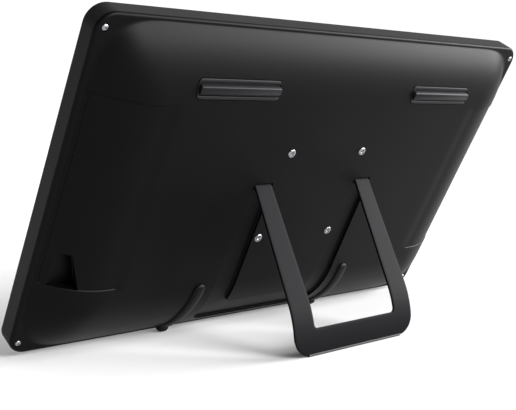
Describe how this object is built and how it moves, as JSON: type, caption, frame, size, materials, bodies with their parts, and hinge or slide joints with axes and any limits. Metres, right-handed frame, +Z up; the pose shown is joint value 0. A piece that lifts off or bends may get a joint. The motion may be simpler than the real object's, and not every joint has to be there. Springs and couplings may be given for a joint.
{
  "type": "pen drawing tablet",
  "caption": "Pen display: a flat screen in a rolled-edge black casing that leans back on a folding sheet-metal stand, with an arm mount behind.",
  "frame": {"origin": "middle of the footprint, on the table the feet and the stand's strip stand on", "axes": "+X to the right of someone facing the screen, -Y towards that person, +Z up; the panel leans back by 29.3 degrees"},
  "size_m": [0.566, 0.196, 0.315],
  "materials": {
    "screen_glass": "etched cover glass over a dark screen, satin",
    "gasket_foam": "black closed-cell foam tape",
    "cell_glass": "laminated liquid-crystal glass",
    "diffuser_film": "white diffusing film",
    "guide_acrylic": "clear acrylic sheet",
    "white_film": "white reflecting film",
    "white_circuit": "white solder mask",
    "led_package": "phosphor over white package",
    "tray_aluminium": "pressed sheet",
    "sensor_circuit": "green solder mask",
    "shield_foil": "rolled foil",
    "frame_plastic": "fine moulded texture",
    "chassis_aluminium": "pressed sheet",
    "plated_steel": "zinc plated",
    "brass_post": "turned brass",
    "zinc_steel": "zinc plated sheet",
    "insert_steel": "turned, bright",
    "pin_steel": "ground",
    "green_circuit": "green solder mask",
    "chip_epoxy": "black moulded epoxy",
    "tinned_steel": "tinned sheet",
    "ribbon_film": "laminated flat cable",
    "port_plastic": "moulded",
    "socket_steel": "plated sheet",
    "socket_plastic": "moulded",
    "button_plastic": "satin moulded",
    "cover_plastic": "satin black moulding",
    "screw_steel": "nickel plated",
    "foot_rubber": "smooth moulded rubber",
    "pad_rubber": "smooth moulded rubber",
    "stand_paint": "satin powder coat",
    "strip_rubber": "extruded rubber"
  },
  "bodies": {
    "tablet": {"cover_glass": "screen_glass", "glass_gasket": "gasket_foam", "lcd_cell": "cell_glass", "diffuser_stack": "diffuser_film", "light_guide": "guide_acrylic", "reflector_sheet": "white_film", "light_bar": "white_circuit", "light_chips": "led_package", "panel_tray": "tray_aluminium", "pen_sensor_sheet": "sensor_circuit", "pen_sensor_shield": "shield_foil", "mid_frame": "frame_plastic", "chassis_plate": "chassis_aluminium", "chassis_screws": "plated_steel", "mount_posts": "brass_post", "mount_plate": "zinc_steel", "mount_post_screws": "plated_steel", "mount_inserts": "insert_steel", "bracket_posts": "brass_post", "bracket_screws": "plated_steel", "hinge_bracket_right": "zinc_steel", "hinge_bracket_left": "zinc_steel", "hinge_pin_right": "pin_steel", "hinge_pin_left": "pin_steel", "friction_washer_right": "pin_steel", "friction_washer_left": "pin_steel", "main_board": "green_circuit", "main_board_chips": "chip_epoxy", "shield_can": "tinned_steel", "pen_board": "green_circuit", "pen_board_chips": "chip_epoxy", "board_posts": "brass_post", "board_screws": "plated_steel", "panel_ribbon": "ribbon_film", "pen_ribbon": "ribbon_film", "ports_board": "green_circuit", "port_plate": "port_plastic", "usb_socket_upper": "socket_steel", "usb_socket_lower": "socket_steel", "power_socket": "socket_plastic", "button_board": "green_circuit", "button_switches": "chip_epoxy", "button_holder": "frame_plastic", "rear_cover": "cover_plastic", "cover_screws": "screw_steel", "rubber_foot_right": "foot_rubber", "rubber_foot_left": "foot_rubber", "rest_pad_right": "pad_rubber", "rest_pad_left": "pad_rubber"},
    "stand": {"kickstand": "stand_paint", "stand_foot_strip": "strip_rubber"},
    "power_key": {"power_button": "button_plastic"},
    "brighter_key": {"brighter_button": "button_plastic"},
    "dimmer_key": {"dimmer_button": "button_plastic"}
  },
  "joints": [
    {"name": "stand_hinge", "type": "hinge", "parent": "tablet", "child": "stand", "pos_m": [0, 0.03306, 0.15879], "axis": [1, 0, 0], "range_deg": [-55, 15]},
    {"name": "power_press", "type": "slide", "parent": "tablet", "child": "power_key", "axis": [1, 0, 0], "range_m": [0, 0.0008], "stiffness_N_per_m": 600, "springref_m": -0.0004},
    {"name": "brighter_press", "type": "slide", "parent": "tablet", "child": "brighter_key", "axis": [1, 0, 0], "range_m": [0, 0.0008], "stiffness_N_per_m": 600, "springref_m": -0.0004},
    {"name": "dimmer_press", "type": "slide", "parent": "tablet", "child": "dimmer_key", "axis": [1, 0, 0], "range_m": [0, 0.0008], "stiffness_N_per_m": 600, "springref_m": -0.0004}
  ]
}
